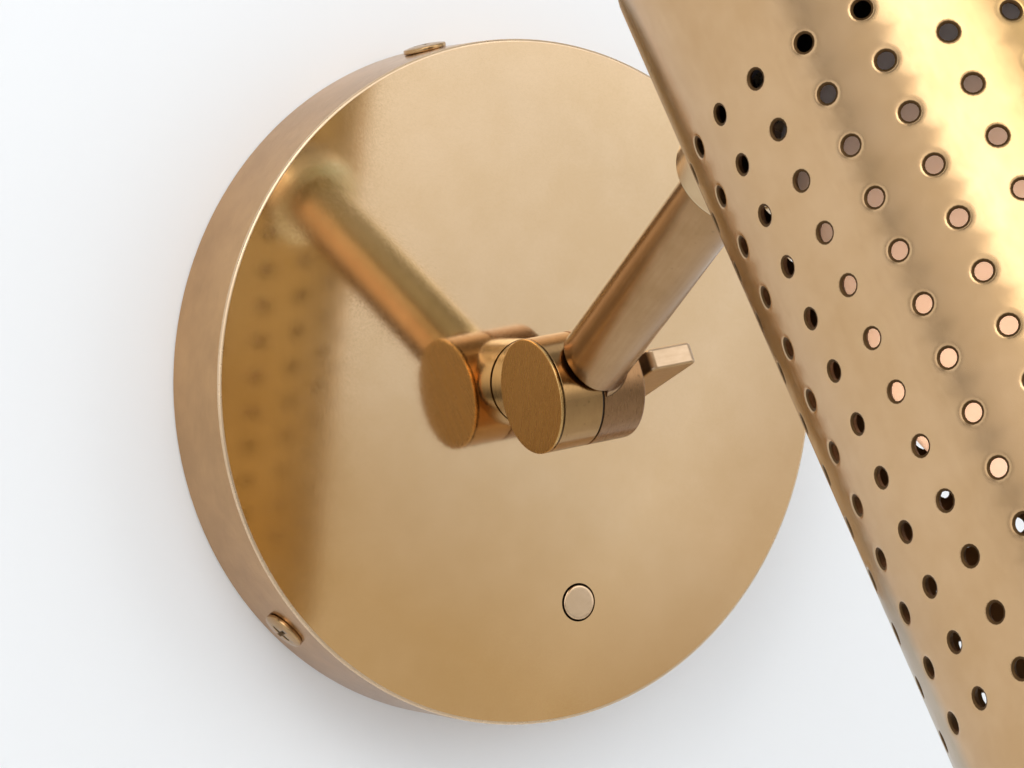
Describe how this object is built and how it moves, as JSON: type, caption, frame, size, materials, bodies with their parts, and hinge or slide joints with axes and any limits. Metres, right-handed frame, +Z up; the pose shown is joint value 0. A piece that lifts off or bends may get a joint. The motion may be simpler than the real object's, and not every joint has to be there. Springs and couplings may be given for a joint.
{
  "type": "articulating wall sconce",
  "caption": "Wall lamp with a round canopy, push switch, swivel neck, clamped knuckle with thumb paddle, straight arm and a perforated cylindrical shade on a swivel.",
  "frame": {"origin": "middle of the canopy's back, in the plane of the wall", "axes": "+Z up, +Y into the wall, +X to the right as seen from the room; rest is the pictured pose"},
  "size_m": [0.127, 0.2356, 0.1615],
  "materials": {
    "canopy_brass": "satin lacquered, finely brushed",
    "screw_brass": "satin",
    "button_brass": "satin",
    "knuckle_brass": "satin, brushed",
    "cap_brass": "finely brushed flat face",
    "paddle_brass": "satin",
    "arm_brass": "antique, brushed along the tube",
    "flange_brass": "satin",
    "shade_brass": "satin, finely brushed",
    "tinned_brass": "tinned",
    "zinc_steel": "zinc plated",
    "spring_steel": "bright",
    "green_screw": "green enamel",
    "dark_washer": "matt",
    "black_phenolic": "moulded",
    "white_nylon": "moulded",
    "bulb_metal": "rolled",
    "frosted_glass": "frosted white"
  },
  "bodies": {
    "base": {"wall_bracket": "zinc_steel", "canopy_cover": "canopy_brass", "canopy_screws": "screw_brass", "ground_screw": "green_screw", "terminal_block": "white_nylon", "terminal_screws": "zinc_steel", "switch_body": "black_phenolic", "switch_lugs": "tinned_brass", "switch_studs": "zinc_steel", "switch_nuts": "zinc_steel", "stop_pin": "zinc_steel", "swivel_washer": "dark_washer", "inner_washer": "zinc_steel", "button_spring": "spring_steel"},
    "button": {"push_button": "button_brass"},
    "neck": {"swivel_neck": "knuckle_brass", "stop_washer": "zinc_steel", "neck_nut": "zinc_steel", "knuckle_cap": "cap_brass", "knuckle_washer": "dark_washer"},
    "paddle": {"paddle_screw": "paddle_brass", "paddle_washer": "paddle_brass"},
    "arm": {"arm_knuckle": "knuckle_brass", "arm_tube": "arm_brass", "arm_flange": "flange_brass", "seam_washer": "dark_washer"},
    "shade": {"shade_boss": "flange_brass", "swivel_nipple": "tinned_brass", "retaining_nut": "tinned_brass", "saddle_washer": "zinc_steel", "shade_nut": "tinned_brass", "shade_shell": "shade_brass", "shade_cap": "shade_brass", "socket_bracket": "zinc_steel", "socket_nipple": "tinned_brass", "socket_nut": "tinned_brass", "socket_body": "black_phenolic", "socket_shell": "tinned_brass", "socket_contact": "tinned_brass", "bulb_base": "bulb_metal", "bulb_tip": "black_phenolic", "bulb_glass": "frosted_glass"}
  },
  "joints": [
    {"name": "button_press", "type": "slide", "parent": "base", "child": "button", "axis": [0, 1, 0], "range_m": [0, 0.0015], "stiffness_N_per_m": 900, "springref_m": -0.001, "deforming": ["button_spring"]},
    {"name": "neck_swivel", "type": "hinge", "parent": "base", "child": "neck", "pos_m": [0, 0, 0], "axis": [0, -1, 0], "range_deg": [-159, 170]},
    {"name": "paddle_turn", "type": "hinge", "parent": "neck", "child": "paddle", "pos_m": [-0.0001, -0.0345, -0.001], "axis": [0.9951, 0, -0.0993], "range_deg": [-90, 90]},
    {"name": "knuckle_tilt", "type": "hinge", "parent": "neck", "child": "arm", "pos_m": [-0.0001, -0.0345, -0.001], "axis": [-0.9951, 0, 0.0993], "range_deg": [-71, 48]},
    {"name": "shade_swivel", "type": "hinge", "parent": "arm", "child": "shade", "pos_m": [-0.0001, -0.0345, -0.001], "axis": [0.052, -0.8517, 0.5214], "range_deg": [-90, 90]}
  ]
}
